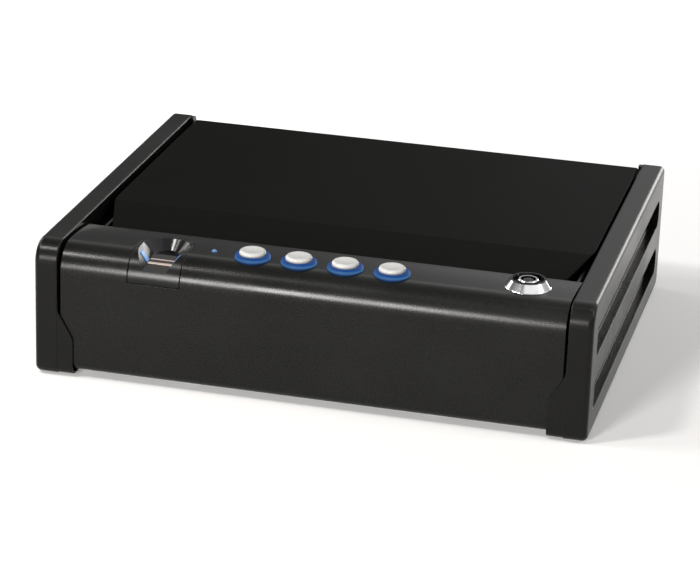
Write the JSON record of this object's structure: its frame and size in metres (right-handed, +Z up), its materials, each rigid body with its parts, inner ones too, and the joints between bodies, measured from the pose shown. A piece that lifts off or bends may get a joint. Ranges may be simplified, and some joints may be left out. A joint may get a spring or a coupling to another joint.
{
  "type": "gun safe",
  "caption": "Low handgun safe that lies flat, with a hinged steel lid on a gas strut, moulded end caps, a fingerprint scanner, lit push buttons and a key lock along the front.",
  "frame": {"origin": "middle of the safe's footprint, at the level the feet stand on", "axes": "+X to the right seen from the front, +Y to the rear, +Z up"},
  "size_m": [0.307, 0.248, 0.0792],
  "materials": {
    "cell_jacket": "plain cell jacket",
    "contact_metal": "sprung contacts",
    "holder_plastic": "black moulding",
    "steel_bright": "zinc-plated steel",
    "button_plastic": "silver-white moulding",
    "dome_rubber": "translucent silicone",
    "board_green": "green circuit board",
    "sensor_face": "tinted sensor glass",
    "foam_grey": "dark foam",
    "housing_plastic": "fine-grained black moulding",
    "body_paint": "textured black powder coat",
    "spring_steel": "spring wire",
    "cap_plastic": "satin black moulding",
    "rubber_black": "black rubber",
    "lid_paint": "satin black powder coat",
    "ring_light": "translucent blue light guide",
    "lock_dark": "black",
    "lock_chrome": "bright plated",
    "bezel_plastic": "gloss black",
    "guide_light": "translucent pale-blue light guide",
    "coil_wrap": "wound coil with tape",
    "rod_steel": "polished rod",
    "led_lens": "clear lens, lit blue",
    "strut_black": "gloss black tube"
  },
  "bodies": {
    "case": {"batteries": "cell_jacket", "battery_contacts": "contact_metal", "battery_holder": "holder_plastic", "board_screws": "steel_bright", "body_rivets": "steel_bright", "button_dome_1": "dome_rubber", "button_dome_2": "dome_rubber", "button_dome_3": "dome_rubber", "button_dome_4": "dome_rubber", "cap_screws": "steel_bright", "control_board": "board_green", "fingerprint_sensor": "sensor_face", "floor_pad": "foam_grey", "front_housing": "housing_plastic", "hinge_leaf_body": "body_paint", "hinge_pin": "steel_bright", "housing_screws": "steel_bright", "inner_front_wall": "body_paint", "keypad_board": "board_green", "latch_guides": "steel_bright", "latch_spring": "spring_steel", "left_end_cap": "cap_plastic", "lid_bumpers": "rubber_black", "light_ring_1": "ring_light", "light_ring_2": "ring_light", "light_ring_3": "ring_light", "light_ring_4": "ring_light", "lock_barrel": "lock_dark", "lock_collar": "lock_chrome", "lock_nut": "steel_bright", "right_end_cap": "cap_plastic", "rubber_feet": "rubber_black", "scanner_bezel": "bezel_plastic", "scanner_light_guides": "guide_light", "sensor_board": "board_green", "solenoid_body": "coil_wrap", "solenoid_stand": "steel_bright", "status_led": "led_lens", "steel_body": "body_paint", "strut_body_bracket": "steel_bright"},
    "lid": {"lid_panel": "lid_paint", "lid_strikes": "body_paint", "lid_liner": "foam_grey", "hinge_leaf_lid": "body_paint", "lid_rivets": "steel_bright", "strut_lid_bracket": "steel_bright"},
    "strut_tube": {"strut_cylinder": "strut_black"},
    "strut_piston": {"strut_rod": "rod_steel"},
    "lock_core": {"lock_plug": "lock_chrome", "lock_cam": "steel_bright", "cam_screw": "steel_bright"},
    "latch": {"latch_bar": "steel_bright", "solenoid_plunger": "rod_steel"},
    "battery_hatch": {"battery_door": "holder_plastic"},
    "push_button_1": {"button_1": "button_plastic"},
    "push_button_2": {"button_2": "button_plastic"},
    "push_button_3": {"button_3": "button_plastic"},
    "push_button_4": {"button_4": "button_plastic"}
  },
  "joints": [
    {"name": "lid_hinge", "type": "hinge", "parent": "case", "child": "lid", "pos_m": [0, 0.1173, 0.0696], "axis": [-1, 0, 0], "range_deg": [0, 60]},
    {"name": "strut_tube_swing", "type": "hinge", "parent": "case", "child": "strut_tube", "pos_m": [0.1233, 0.112, 0.0186], "axis": [-1, 0, 0], "range_deg": [0, 30]},
    {"name": "strut_rod_swing", "type": "hinge", "parent": "lid", "child": "strut_piston", "pos_m": [0.1233, 0.06623, 0.065], "axis": [1, 0, 0], "range_deg": [0, 30]},
    {"name": "button_1_press", "type": "slide", "parent": "case", "child": "push_button_1", "axis": [0, 0, -1], "range_m": [0, 0.001], "stiffness_N_per_m": 700, "deforming": ["button_dome_1"]},
    {"name": "button_2_press", "type": "slide", "parent": "case", "child": "push_button_2", "axis": [0, 0, -1], "range_m": [0, 0.001], "stiffness_N_per_m": 700, "deforming": ["button_dome_2"]},
    {"name": "button_3_press", "type": "slide", "parent": "case", "child": "push_button_3", "axis": [0, 0, -1], "range_m": [0, 0.001], "stiffness_N_per_m": 700, "deforming": ["button_dome_3"]},
    {"name": "button_4_press", "type": "slide", "parent": "case", "child": "push_button_4", "axis": [0, 0, -1], "range_m": [0, 0.001], "stiffness_N_per_m": 700, "deforming": ["button_dome_4"]},
    {"name": "lock_turn", "type": "hinge", "parent": "case", "child": "lock_core", "pos_m": [0.113, -0.0965, 0.07], "axis": [0, 0, 1], "range_deg": [0, 90]},
    {"name": "latch_slide", "type": "slide", "parent": "case", "child": "latch", "axis": [1, 0, 0], "range_m": [0, 0.008]},
    {"name": "battery_door_hinge", "type": "hinge", "parent": "case", "child": "battery_hatch", "pos_m": [-0.0975, -0.0634, 0.0152], "axis": [-1, 0, 0], "range_deg": [0, 85]}
  ],
  "couplings": [
    {"joint": "strut_tube_swing", "follows": "lid_hinge", "ratio": 0.5},
    {"joint": "strut_rod_swing", "follows": "lid_hinge", "ratio": 0.5},
    {"joint": "lock_turn", "follows": "latch_slide", "rad_per_m": 196.35}
  ]
}
